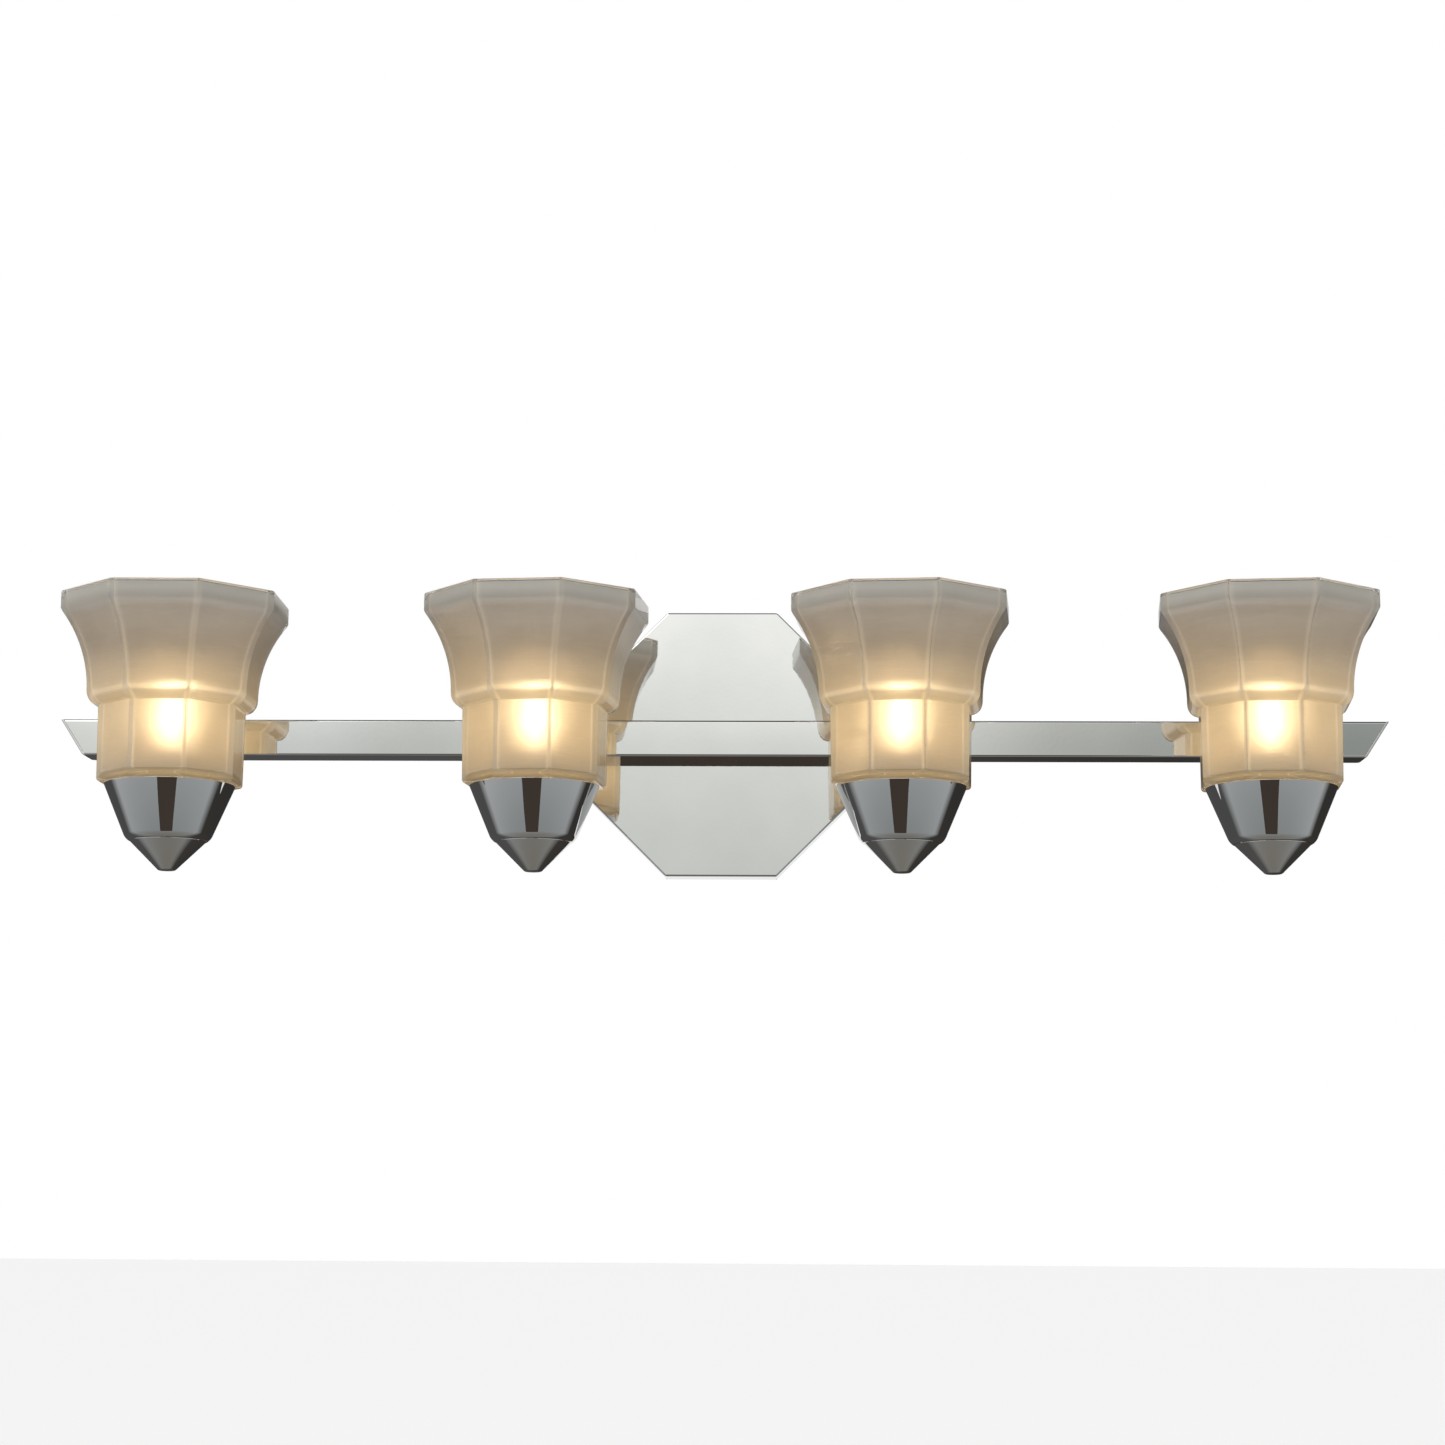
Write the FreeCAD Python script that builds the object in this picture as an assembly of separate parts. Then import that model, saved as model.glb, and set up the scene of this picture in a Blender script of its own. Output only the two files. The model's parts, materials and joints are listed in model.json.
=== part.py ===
import FreeCAD, Part
import os
from math import atan2, cos, hypot, pi, radians, sin, sqrt, tan
from FreeCAD import Vector

# Four-light vanity bar, in millimetres.
# Origin: centre of the canopy on the wall plane. +X along the bar, +Y into the wall, +Z up.

os.makedirs("parts", exist_ok=True)

# ---- driving dimensions ----
LAMP_COUNT = 4
LAMP_PITCH = 224.0
SHADE_TURNS = (0.7, -5.6, -5.3, -5.7)   # degrees each shade has been turned about its own axis
FIT = 0.1                               # gap left between pieces that meet
SIDES = 8
HALF_SIDE = pi / SIDES

CANOPY_FLATS = 170.0
CANOPY_DEPTH = 19.0
CANOPY_WALL = 1.2
CANOPY_EDGE = 1.0

STRAP_LENGTH = 166.0
STRAP_HEIGHT = 28.0
STRAP_THICKNESS = 2.0
STRAP_TAB = 13.0
BOX_SCREW_SPACING = 88.9
SLOT_WIDTH = 5.0
SLOT_LENGTH = 14.0

BAR_TOP_LENGTH = 838.2
BAR_BOTTOM_LENGTH = 808.8
BAR_HEIGHT = 23.0
BAR_DEPTH = 22.5
BAR_WALL = 1.2
BAR_CORNER = 1.4
BACK_PLATE_THICKNESS = 1.5
END_CAP_THICKNESS = 1.8
END_CAP_CORNER = 1.2

BOLT_OFFSET = 30.0
BOLT_R = 2.5
BOLT_HEAD_R = 4.5
BOLT_HEAD_HEIGHT = 2.5
NUT_FLATS = 8.0
NUT_HEIGHT = 3.2
WASHER_THICKNESS = 1.0
SCREW_R = 2.0
SCREW_HEAD_R = 3.6
SCREW_HEAD_HEIGHT = 2.2
SCREW_REACH = 10.0

BUSHING_BORE_R = 6.8
BUSHING_R = 7.8
BUSHING_FLANGE_R = 9.5
BUSHING_RISE = 1.5

LAMP_REACH = 54.0                       # lamp axis in front of the bar's face
ARM_R = 6.35
ARM_BORE_R = 5.2
ARM_BEND = 14.0
ARM_HEIGHT = -50.0
ARM_NUT_FLATS = 17.0
ARM_NUT_HEIGHT = 3.5

CUP_TOP = -38.3
CUP_TOP_R = 39.8
CUP_SHOULDER = -70.4
CUP_SHOULDER_R = 26.3
CUP_BOTTOM = -72.8
CUP_BOTTOM_R = 23.9
CUP_WALL = 1.2
CUP_FLOOR = 1.6

FINIAL_R = 22.9
FINIAL_BAND = 1.2
FINIAL_TIP = -90.8
FINIAL_TIP_R = 5.1
FINIAL_BORE_DEPTH = 9.0
NIPPLE_R = 4.8
NIPPLE_BORE_R = 3.4

SOCKET_R = 19.5
SOCKET_TOP = -20.0
SOCKET_BOTTOM = -62.0
SOCKET_FLANGE_R = 26.0
SOCKET_FLANGE_HEIGHT = 3.0
SOCKET_BORE_R = 14.4
SOCKET_MOUTH_R = 16.5
SOCKET_FLOOR = -52.0
SHELL_WALL = 0.5
CONTACT_R = 4.5
CONTACT_THICKNESS = 1.5
RING_R = 27.0
RING_HEIGHT = 6.0

SHADE_HOLE_R = 20.65
SHADE_FLOOR = 5.0
SHADE_RIM = 78.1
COLLAR_APOTHEM = 41.6
COLLAR_TOP_APOTHEM = 42.2
COLLAR_ROUND = 2.0
COLLAR_TOP = 8.5
COLLAR_WALL = 4.8
STEP_TOP = 17.5
BELL_APOTHEM = 49.0
BELL_R = 82.0
BELL_WALL = 4.5
BAND_APOTHEM = 65.3
BAND_BOTTOM = 67.2
BAND_WALL = 5.6
INNER_STEP_BOTTOM = 13.5
INNER_STEP_TOP = 20.5

BULB_R = 27.5
BULB_CENTRE = 20.0
BULB_NECK_R = 13.6
BULB_NECK = -20.0
BULB_GLASS_BOTTOM = -25.5
BULB_WALL = 0.8
CAP_TOP = -24.0
MOUTH_FLOOR = -29.0
CAP_R = 13.1
CAP_CORE_R = 12.3
CAP_THREAD_PITCH = 3.6
CAP_TURNS = 5
CAP_TIP_R = 4.6
CAP_INSULATOR_HEIGHT = 3.0

LEAD_R = 1.0
LEAD_SPREAD = 2.0
LEAD_BEND = 4.0
LEAD_LANE = 3.0
LEAD_LOWEST_LANE = -3.0
LEAD_CENTRE = 2.5
BLOCK_SIZE = (28.0, 10.0, 20.0)
GROUND_X = 27.0

# ---- places worked out from them ----
CANOPY_FRONT = -CANOPY_DEPTH
CANOPY_INSIDE = CANOPY_FRONT + CANOPY_WALL
CANOPY_APOTHEM = CANOPY_FLATS / 2
BAR_FRONT = CANOPY_FRONT - BAR_DEPTH
BAR_MIDDLE = CANOPY_FRONT - BAR_DEPTH / 2
LAMP_Y = BAR_FRONT - LAMP_REACH
SHADE_BOTTOM = CUP_TOP + FIT
BULB_TIP = SOCKET_FLOOR + CONTACT_THICKNESS + FIT
LAMP_XS = [(n - (LAMP_COUNT - 1) / 2) * LAMP_PITCH for n in range(LAMP_COUNT)]

X = Vector(1, 0, 0)
Y = Vector(0, 1, 0)
Z = Vector(0, 0, 1)
FAR = 600.0


def save(name, *solids):
    shape = solids[0] if len(solids) == 1 else Part.makeCompound(list(solids))
    shape.exportStep(f"parts/{name}.step")


def box(x0, x1, y0, y1, z0, z1):
    return Part.makeBox(x1 - x0, y1 - y0, z1 - z0, Vector(x0, y0, z0))


def rod_x(radius, x0, x1, y, z):
    return Part.makeCylinder(radius, x1 - x0, Vector(x0, y, z), X)


def rod_y(radius, y0, y1, x, z):
    return Part.makeCylinder(radius, y1 - y0, Vector(x, y0, z), Y)


def rod_z(radius, z0, z1, x=0.0, y=0.0):
    return Part.makeCylinder(radius, z1 - z0, Vector(x, y, z0), Z)


def hexagon(flats, height, centre, axis):
    """Hexagonal prism standing on centre along axis."""
    corner_r = flats / 2 / cos(pi / 6)
    corners = [Vector(corner_r * cos(k * pi / 3), corner_r * sin(k * pi / 3), 0) for k in range(7)]
    prism = Part.Face(Part.makePolygon(corners)).extrude(Vector(0, 0, height))
    prism.Placement = FreeCAD.Placement(centre, FreeCAD.Rotation(Z, axis))
    return prism


def line(a, b):
    return Part.makeLine(Vector(a[0], 0, a[1]), Vector(b[0], 0, b[1]))


def arc(a, middle, b):
    points = [Vector(p[0], 0, p[1]) for p in (a, middle, b)]
    return Part.Arc(*points).toShape()


def revolve(edges):
    """Solid of revolution about Z from a closed outline in the XZ plane."""
    return Part.Face(Part.Wire(edges)).revolve(Vector(0, 0, 0), Z, 360)


def polyline(points):
    return [line(a, b) for a, b in zip(points, points[1:] + points[:1])]


def bent_rod(radius, points, bend):
    """Round rod along straight runs joined by tangent arcs of one bend radius."""
    edges = []
    start = points[0]
    for before, corner, after in zip(points, points[1:], points[2:]):
        back = (before - corner).normalize()
        ahead = (after - corner).normalize()
        half_turn = back.getAngle(ahead) / 2
        setback = bend / tan(half_turn)
        towards = (back + ahead).normalize()
        first = corner + back * setback
        last = corner + ahead * setback
        middle = corner + towards * (bend / sin(half_turn) - bend)
        edges.append(Part.makeLine(start, first))
        edges.append(Part.Arc(first, middle, last).toShape())
        start = last
    edges.append(Part.makeLine(start, points[-1]))
    section = Part.Wire(Part.makeCircle(radius, points[0], points[1] - points[0]))
    return Part.Wire(edges).makePipeShell([section], True, False)


# ---- canopy and its mounting strap ----
def octagon_prism(apothem, y0, y1):
    corner_r = apothem / cos(HALF_SIDE)
    angles = [HALF_SIDE + 2 * HALF_SIDE * k for k in range(SIDES + 1)]
    corners = [Vector(corner_r * cos(a), y0, corner_r * sin(a)) for a in angles]
    return Part.Face(Part.makePolygon(corners)).extrude(Vector(0, y1 - y0, 0))


def canopy():
    pan = octagon_prism(CANOPY_APOTHEM, CANOPY_FRONT, 0)
    front_edges = [e for e in pan.Edges if all(abs(v.Y - CANOPY_FRONT) < FIT for v in e.Vertexes)]
    pan = pan.makeFillet(CANOPY_EDGE, front_edges)
    pan = pan.cut(octagon_prism(CANOPY_APOTHEM - CANOPY_WALL, CANOPY_INSIDE, 1))
    pan = pan.cut(rod_y(BUSHING_R + FIT, CANOPY_FRONT - 1, 0, 0, BUSHING_RISE))
    for x in (-BOLT_OFFSET, BOLT_OFFSET):
        pan = pan.cut(rod_y(BOLT_R + FIT, CANOPY_FRONT - 1, 0, x, 0))
    return pan.cut(rod_x(SCREW_R + FIT, -FAR, FAR, -CANOPY_DEPTH / 2, 0))


def slot(x):
    half = SLOT_LENGTH / 2 - SLOT_WIDTH / 2
    r = SLOT_WIDTH / 2
    middle = box(x - half, x + half, -STRAP_THICKNESS - 1, 1, -r, r)
    ends = [rod_y(r, -STRAP_THICKNESS - 1, 1, x + side * half, 0) for side in (-1, 1)]
    return middle.fuse(ends)


def mounting_strap():
    half = STRAP_LENGTH / 2
    z = STRAP_HEIGHT / 2
    strap = box(-half, half, -STRAP_THICKNESS, 0, -z, z)
    for side in (-1, 1):
        inner, outer = sorted((side * half, side * (half - STRAP_THICKNESS)))
        strap = strap.fuse(box(inner, outer, -STRAP_TAB, 0, -z, z))
        strap = strap.cut(slot(side * BOX_SCREW_SPACING / 2))
    strap = strap.cut(rod_x(SCREW_R + FIT / 2, -FAR, FAR, -CANOPY_DEPTH / 2, 0))
    strap = strap.cut(rod_y(SCREW_R + FIT / 2, -STRAP_THICKNESS - 1, 1, GROUND_X, 0))
    return strap.removeSplitter()


def canopy_screws():
    y = -CANOPY_DEPTH / 2
    head = CANOPY_APOTHEM + SCREW_HEAD_HEIGHT
    screws = []
    for side in (-1, 1):
        shank = sorted((side * (CANOPY_APOTHEM - SCREW_REACH), side * CANOPY_APOTHEM))
        knob = sorted((side * CANOPY_APOTHEM, side * head))
        screws.append(rod_x(SCREW_R, *shank, y, 0).fuse(rod_x(SCREW_HEAD_R, *knob, y, 0)))
    return screws


def ground_screw():
    shank = rod_y(SCREW_R, -STRAP_THICKNESS, 0, GROUND_X, 0)
    head = hexagon(NUT_FLATS, NUT_HEIGHT, Vector(GROUND_X, -STRAP_THICKNESS, 0), Vector(0, -1, 0))
    return shank.fuse(head)


def terminal_block():
    width, depth, height = BLOCK_SIZE
    block = box(-width / 2, width / 2, -STRAP_THICKNESS - depth, -STRAP_THICKNESS,
                BUSHING_RISE - height / 2, BUSHING_RISE + height / 2)
    return block.makeChamfer(1, [e for e in block.Edges if abs(e.BoundBox.YLength - depth) < FIT])


# ---- bar ----
def bar_outline(y0, y1, top_inset=0.0):
    """Long prism whose ends lean in towards the bottom; top_inset shortens each end."""
    top = BAR_TOP_LENGTH / 2 - top_inset
    bottom = BAR_BOTTOM_LENGTH / 2 - top_inset
    z = BAR_HEIGHT / 2
    corners = [Vector(-top, y0, z), Vector(top, y0, z), Vector(bottom, y0, -z),
               Vector(-bottom, y0, -z), Vector(-top, y0, z)]
    return Part.Face(Part.makePolygon(corners)).extrude(Vector(0, y1 - y0, 0))


def bar_channel():
    half = BAR_HEIGHT / 2 - BAR_WALL
    bar = bar_outline(BAR_FRONT, CANOPY_FRONT, END_CAP_THICKNESS)
    long_front = [e for e in bar.Edges
                  if e.BoundBox.XLength > FAR and abs(e.BoundBox.YMin - BAR_FRONT) < FIT]
    bar = bar.makeFillet(BAR_CORNER, long_front)
    bar = bar.cut(box(-FAR, FAR, BAR_FRONT + BAR_WALL, 1, -half, half))
    for x in LAMP_XS:
        bar = bar.cut(rod_z(ARM_R + FIT, -BAR_HEIGHT, 0, x, BAR_MIDDLE))
    return bar


def bar_back_plate():
    half = BAR_HEIGHT / 2 - BAR_WALL
    room = box(-FAR, FAR, CANOPY_FRONT - BACK_PLATE_THICKNESS, CANOPY_FRONT, -half, half)
    plate = bar_outline(CANOPY_FRONT - BACK_PLATE_THICKNESS, CANOPY_FRONT, END_CAP_THICKNESS).common(room)
    plate = plate.cut(rod_y(BUSHING_R + FIT, BAR_FRONT, 0, 0, BUSHING_RISE))
    for x in (-BOLT_OFFSET, BOLT_OFFSET):
        plate = plate.cut(rod_y(BOLT_R + FIT, BAR_FRONT, 0, x, 0))
    return plate


def bar_end_cap(side):
    full = bar_outline(BAR_FRONT, CANOPY_FRONT)
    cap = full.cut(bar_outline(BAR_FRONT - 1, CANOPY_FRONT + 1, END_CAP_THICKNESS))
    cap = [s for s in cap.Solids if s.CenterOfMass.x * side > 0][0]
    low_edges = [e for e in cap.Edges if e.BoundBox.YLength > BAR_DEPTH - FIT and e.CenterOfMass.z < 0]
    end = max(low_edges, key=lambda e: abs(e.CenterOfMass.x))
    return cap.makeFillet(END_CAP_CORNER, [end])


def bar_bolts():
    head = CANOPY_FRONT - BACK_PLATE_THICKNESS
    tail = CANOPY_INSIDE + WASHER_THICKNESS + NUT_HEIGHT + 1.5
    return [rod_y(BOLT_HEAD_R, head - BOLT_HEAD_HEIGHT, head, x, 0).fuse(rod_y(BOLT_R, head, tail, x, 0))
            for x in (-BOLT_OFFSET, BOLT_OFFSET)]


def bar_washers():
    y = CANOPY_INSIDE
    return [rod_y(BOLT_HEAD_R, y, y + WASHER_THICKNESS, x, 0).cut(rod_y(BOLT_R + FIT, y - 1, 0, x, 0))
            for x in (-BOLT_OFFSET, BOLT_OFFSET)]


def bar_nuts():
    y = CANOPY_INSIDE + WASHER_THICKNESS
    return [hexagon(NUT_FLATS, NUT_HEIGHT, Vector(x, y, 0), Y).cut(rod_y(BOLT_R, y - 1, 0, x, 0))
            for x in (-BOLT_OFFSET, BOLT_OFFSET)]


def bushing():
    inner = CANOPY_FRONT - BACK_PLATE_THICKNESS
    tube = rod_y(BUSHING_R, inner, CANOPY_INSIDE, 0, BUSHING_RISE)
    flange = rod_y(BUSHING_FLANGE_R, CANOPY_INSIDE, CANOPY_INSIDE + WASHER_THICKNESS, 0, BUSHING_RISE)
    return tube.fuse(flange).cut(rod_y(BUSHING_BORE_R, inner - 1, 0, 0, BUSHING_RISE))


# ---- arms and cups ----
def arm_path(x):
    top = -BAR_HEIGHT / 2 + BAR_WALL + ARM_NUT_HEIGHT + 0.5
    end = LAMP_Y + SOCKET_R + 10
    return [Vector(x, BAR_MIDDLE, top), Vector(x, BAR_MIDDLE, ARM_HEIGHT), Vector(x, end, ARM_HEIGHT)]


def arm(x):
    return bent_rod(ARM_R, arm_path(x), ARM_BEND).cut(bent_rod(ARM_BORE_R, arm_path(x), ARM_BEND))


def arm_nut(x):
    z = -BAR_HEIGHT / 2 + BAR_WALL
    nut = hexagon(ARM_NUT_FLATS, ARM_NUT_HEIGHT, Vector(x, BAR_MIDDLE, z), Z)
    return nut.cut(rod_z(ARM_R, z - 1, 0, x, BAR_MIDDLE))


def cup(x):
    outer = [(0, CUP_TOP), (CUP_TOP_R, CUP_TOP), (CUP_SHOULDER_R, CUP_SHOULDER),
             (CUP_BOTTOM_R, CUP_BOTTOM), (0, CUP_BOTTOM)]
    inner = [(0, CUP_TOP + 1), (CUP_TOP_R - CUP_WALL, CUP_TOP + 1), (CUP_TOP_R - CUP_WALL, CUP_TOP),
             (CUP_SHOULDER_R - CUP_WALL, CUP_SHOULDER), (CUP_BOTTOM_R - CUP_WALL, CUP_BOTTOM + CUP_FLOOR),
             (0, CUP_BOTTOM + CUP_FLOOR)]
    shell = revolve(polyline(outer)).cut(revolve(polyline(inner)))
    shell.translate(Vector(x, LAMP_Y, 0))
    shell = shell.cut(rod_z(NIPPLE_R + FIT, CUP_BOTTOM - 1, CUP_SHOULDER + 1, x, LAMP_Y))
    return shell.cut(rod_y(ARM_R + FIT, LAMP_Y + SOCKET_R, BAR_FRONT, x, ARM_HEIGHT))


def finial(x):
    top = CUP_BOTTOM
    cone = revolve(polyline([(0, top), (FINIAL_R, top), (FINIAL_R, top - FINIAL_BAND),
                             (FINIAL_TIP_R, FINIAL_TIP), (0, FINIAL_TIP)]))
    cone = cone.cut(rod_z(NIPPLE_R, top - FINIAL_BORE_DEPTH, top + 1))
    cone.translate(Vector(x, LAMP_Y, 0))
    return cone


def nipple(x):
    low = CUP_BOTTOM - FINIAL_BORE_DEPTH + 1
    high = SOCKET_BOTTOM + 5
    return rod_z(NIPPLE_R, low, high, x, LAMP_Y).cut(rod_z(NIPPLE_BORE_R, low - 1, high + 1, x, LAMP_Y))


def nipple_nut(x):
    z = CUP_BOTTOM + CUP_FLOOR
    nut = hexagon(ARM_NUT_FLATS, ARM_NUT_HEIGHT, Vector(x, LAMP_Y, z), Z)
    return nut.cut(rod_z(NIPPLE_R, z - 1, 0, x, LAMP_Y))


# ---- sockets ----
def socket_body(x):
    flange_top = CUP_TOP - FIT
    outer = [(0, SOCKET_TOP), (SOCKET_R, SOCKET_TOP), (SOCKET_R, flange_top),
             (SOCKET_FLANGE_R, flange_top), (SOCKET_FLANGE_R, flange_top - SOCKET_FLANGE_HEIGHT),
             (SOCKET_R, flange_top - SOCKET_FLANGE_HEIGHT), (SOCKET_R, SOCKET_BOTTOM), (0, SOCKET_BOTTOM)]
    body = revolve(polyline(outer))
    body = body.cut(rod_z(SOCKET_BORE_R, SOCKET_FLOOR, SOCKET_TOP + 1))
    body = body.cut(rod_z(SOCKET_MOUTH_R, MOUTH_FLOOR, SOCKET_TOP + 1))
    body = body.cut(rod_z(NIPPLE_R, SOCKET_BOTTOM - 1, SOCKET_BOTTOM + 5))
    body.translate(Vector(x, LAMP_Y, 0))
    return body


def screw_shell(x):
    bottom = SOCKET_FLOOR + CONTACT_THICKNESS + 1
    tube = rod_z(SOCKET_BORE_R, bottom, MOUTH_FLOOR, x, LAMP_Y)
    return tube.cut(rod_z(SOCKET_BORE_R - SHELL_WALL, bottom - 1, MOUTH_FLOOR + 1, x, LAMP_Y))


def contact(x):
    return rod_z(CONTACT_R, SOCKET_FLOOR, SOCKET_FLOOR + CONTACT_THICKNESS, x, LAMP_Y)


def socket_ring(x):
    z = SHADE_BOTTOM + SHADE_FLOOR + FIT
    ring = rod_z(RING_R, z, z + RING_HEIGHT, x, LAMP_Y)
    ring = ring.makeChamfer(1, [e for e in ring.Edges if abs(e.BoundBox.ZMin - z - RING_HEIGHT) < FIT])
    return ring.cut(rod_z(SOCKET_R, z - 1, z + RING_HEIGHT + 1, x, LAMP_Y))


# ---- pressed-glass shade ----
def on_ellipse(centre, radii, turn):
    """Point of an ellipse, turn radians from straight down towards +X."""
    return (centre[0] + radii[0] * sin(turn), centre[1] - radii[1] * cos(turn))


def step_edges(inner, outer, bottom, top):
    """Two arcs that round a step from (inner, bottom) out to (outer, top)."""
    centre = (inner, top)
    radii = (outer - inner, top - bottom)
    p = [on_ellipse(centre, radii, k * pi / 8) for k in range(5)]
    return [arc(p[0], p[1], p[2]), arc(p[2], p[3], p[4])]


def bell_point(radius, apothem):
    """Height at which the bell's hollow arc reaches an apothem."""
    centre_x = BELL_APOTHEM + BELL_R
    return (apothem, STEP_TOP + sqrt(radius ** 2 - (centre_x - apothem) ** 2))


def bell_edge(radius, start, end):
    centre_x = BELL_APOTHEM + BELL_R
    low = atan2(start[1] - STEP_TOP, centre_x - start[0])
    high = atan2(end[1] - STEP_TOP, centre_x - end[0])
    half = (low + high) / 2
    middle = (centre_x - radius * cos(half), STEP_TOP + radius * sin(half))
    return arc(start, middle, end)


def outer_profile():
    foot = COLLAR_APOTHEM - COLLAR_ROUND
    low_round = SHADE_BOTTOM + COLLAR_ROUND
    slope = COLLAR_ROUND * (1 - sqrt(0.5))
    bell_end = bell_point(BELL_R, BAND_APOTHEM - 1)
    return [line((0, SHADE_BOTTOM), (foot, SHADE_BOTTOM)),
            arc((foot, SHADE_BOTTOM), (COLLAR_APOTHEM - slope, SHADE_BOTTOM + slope),
                (COLLAR_APOTHEM, low_round)),
            line((COLLAR_APOTHEM, low_round), (COLLAR_TOP_APOTHEM, COLLAR_TOP)),
            *step_edges(COLLAR_TOP_APOTHEM, BELL_APOTHEM, COLLAR_TOP, STEP_TOP),
            bell_edge(BELL_R, (BELL_APOTHEM, STEP_TOP), bell_end),
            line(bell_end, (BAND_APOTHEM, BAND_BOTTOM)),
            line((BAND_APOTHEM, BAND_BOTTOM), (BAND_APOTHEM, SHADE_RIM - 1)),
            line((BAND_APOTHEM, SHADE_RIM - 1), (BAND_APOTHEM - 1, SHADE_RIM)),
            line((BAND_APOTHEM - 1, SHADE_RIM), (0, SHADE_RIM))]


def inner_profile():
    collar = COLLAR_APOTHEM - COLLAR_WALL
    floor = SHADE_BOTTOM + SHADE_FLOOR
    radius = BELL_R + BELL_WALL
    band = BAND_APOTHEM - BAND_WALL
    centre_x = BELL_APOTHEM + BELL_R
    start_x = centre_x - sqrt(radius ** 2 - (INNER_STEP_TOP - STEP_TOP) ** 2)
    bell_end = bell_point(radius, band - 1)
    return [line((0, floor), (collar, floor)),
            line((collar, floor), (collar, INNER_STEP_BOTTOM)),
            *step_edges(collar, start_x, INNER_STEP_BOTTOM, INNER_STEP_TOP),
            bell_edge(radius, (start_x, INNER_STEP_TOP), bell_end),
            line(bell_end, (band, BAND_BOTTOM + 1)),
            line((band, BAND_BOTTOM + 1), (band, SHADE_RIM + 1)),
            line((band, SHADE_RIM + 1), (0, SHADE_RIM + 1))]


def faceted(profile):
    """Eight-sided solid: one facet wedge from the profile, repeated round the axis."""
    reach = BAND_APOTHEM * tan(HALF_SIDE) + 1
    low, high = profile[0].Vertexes[0].Z, profile[-1].Vertexes[-1].Z
    outline = Part.Wire(profile + [Part.makeLine(Vector(0, 0, high), Vector(0, 0, low))])
    slab = Part.Face(outline)
    slab.translate(Vector(0, -reach, 0))
    slab = slab.extrude(Vector(0, 2 * reach, 0))
    far = 2 * BAND_APOTHEM
    corners = [Vector(0, 0, low - 1), Vector(far, -far * tan(HALF_SIDE), low - 1),
               Vector(far, far * tan(HALF_SIDE), low - 1), Vector(0, 0, low - 1)]
    wedge = Part.Face(Part.makePolygon(corners)).extrude(Vector(0, 0, high - low + 2))
    facet = slab.common(wedge)
    facets = []
    for k in range(SIDES):
        turned = facet.copy()
        turned.rotate(Vector(0, 0, 0), Z, 360 / SIDES * k)
        facets.append(turned)
    return facets[0].fuse(facets[1:]).removeSplitter()


def shade_blank():
    shade = faceted(outer_profile()).cut(faceted(inner_profile()))
    return shade.cut(rod_z(SHADE_HOLE_R, SHADE_BOTTOM - 1, 0))


def shade_glass(blank, x, turn):
    glass = blank.copy()
    glass.rotate(Vector(0, 0, 0), Z, turn)
    glass.translate(Vector(x, LAMP_Y, 0))
    return glass


# ---- bulbs ----
def envelope_profile(inset):
    """Half outline of the bulb's glass: neck, flare and round top, inset by a wall thickness."""
    round_r = BULB_R - inset
    neck_r = BULB_NECK_R - inset
    drop = BULB_CENTRE - BULB_NECK
    flare_r = (neck_r ** 2 + drop ** 2 - round_r ** 2) / (2 * (round_r - neck_r))
    flare_x = neck_r + flare_r
    reach = hypot(flare_x, drop)
    meet = (round_r * flare_x / reach, BULB_CENTRE - round_r * drop / reach)
    turn = atan2(drop, flare_x) / 2
    middle = (flare_x - flare_r * cos(turn), BULB_NECK + flare_r * sin(turn))
    side = (round_r, BULB_CENTRE)
    top = (0, BULB_CENTRE + round_r)
    low = atan2(BULB_CENTRE - meet[1], meet[0]) / 2
    high = pi / 4
    bottom = BULB_GLASS_BOTTOM + inset
    return [line((0, bottom), (neck_r, bottom)),
            line((neck_r, bottom), (neck_r, BULB_NECK)),
            arc((neck_r, BULB_NECK), middle, meet),
            arc(meet, (round_r * cos(low), BULB_CENTRE - round_r * sin(low)), side),
            arc(side, (round_r * cos(high), BULB_CENTRE + round_r * sin(high)), top),
            line(top, (0, bottom))]


def bulb_glass(x):
    glass = revolve(envelope_profile(0)).cut(revolve(envelope_profile(BULB_WALL)))
    glass.translate(Vector(x, LAMP_Y, 0))
    return glass


def bulb_cap(x):
    """Medium screw cap: rounded thread, insulator and centre contact, hollow for the glass neck."""
    shoulder = BULB_TIP + CAP_INSULATOR_HEIGHT
    thread_top = shoulder + CAP_TURNS * CAP_THREAD_PITCH
    outline = [line((0, BULB_TIP), (CAP_TIP_R, BULB_TIP)), line((CAP_TIP_R, BULB_TIP), (CAP_CORE_R, shoulder))]
    for k in range(CAP_TURNS):
        z = shoulder + k * CAP_THREAD_PITCH
        outline.append(arc((CAP_CORE_R, z), (CAP_R, z + CAP_THREAD_PITCH / 2), (CAP_CORE_R, z + CAP_THREAD_PITCH)))
    neck_r = BULB_NECK_R + BULB_WALL
    outline += [line((CAP_CORE_R, thread_top), (neck_r, thread_top + 1)),
                line((neck_r, thread_top + 1), (neck_r, CAP_TOP)), line((neck_r, CAP_TOP), (0, CAP_TOP)),
                line((0, CAP_TOP), (0, BULB_TIP))]
    cap = revolve(outline)
    cap = cap.cut(rod_z(BULB_NECK_R, BULB_GLASS_BOTTOM, CAP_TOP + 1))
    cap.translate(Vector(x, LAMP_Y, 0))
    return cap


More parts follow.
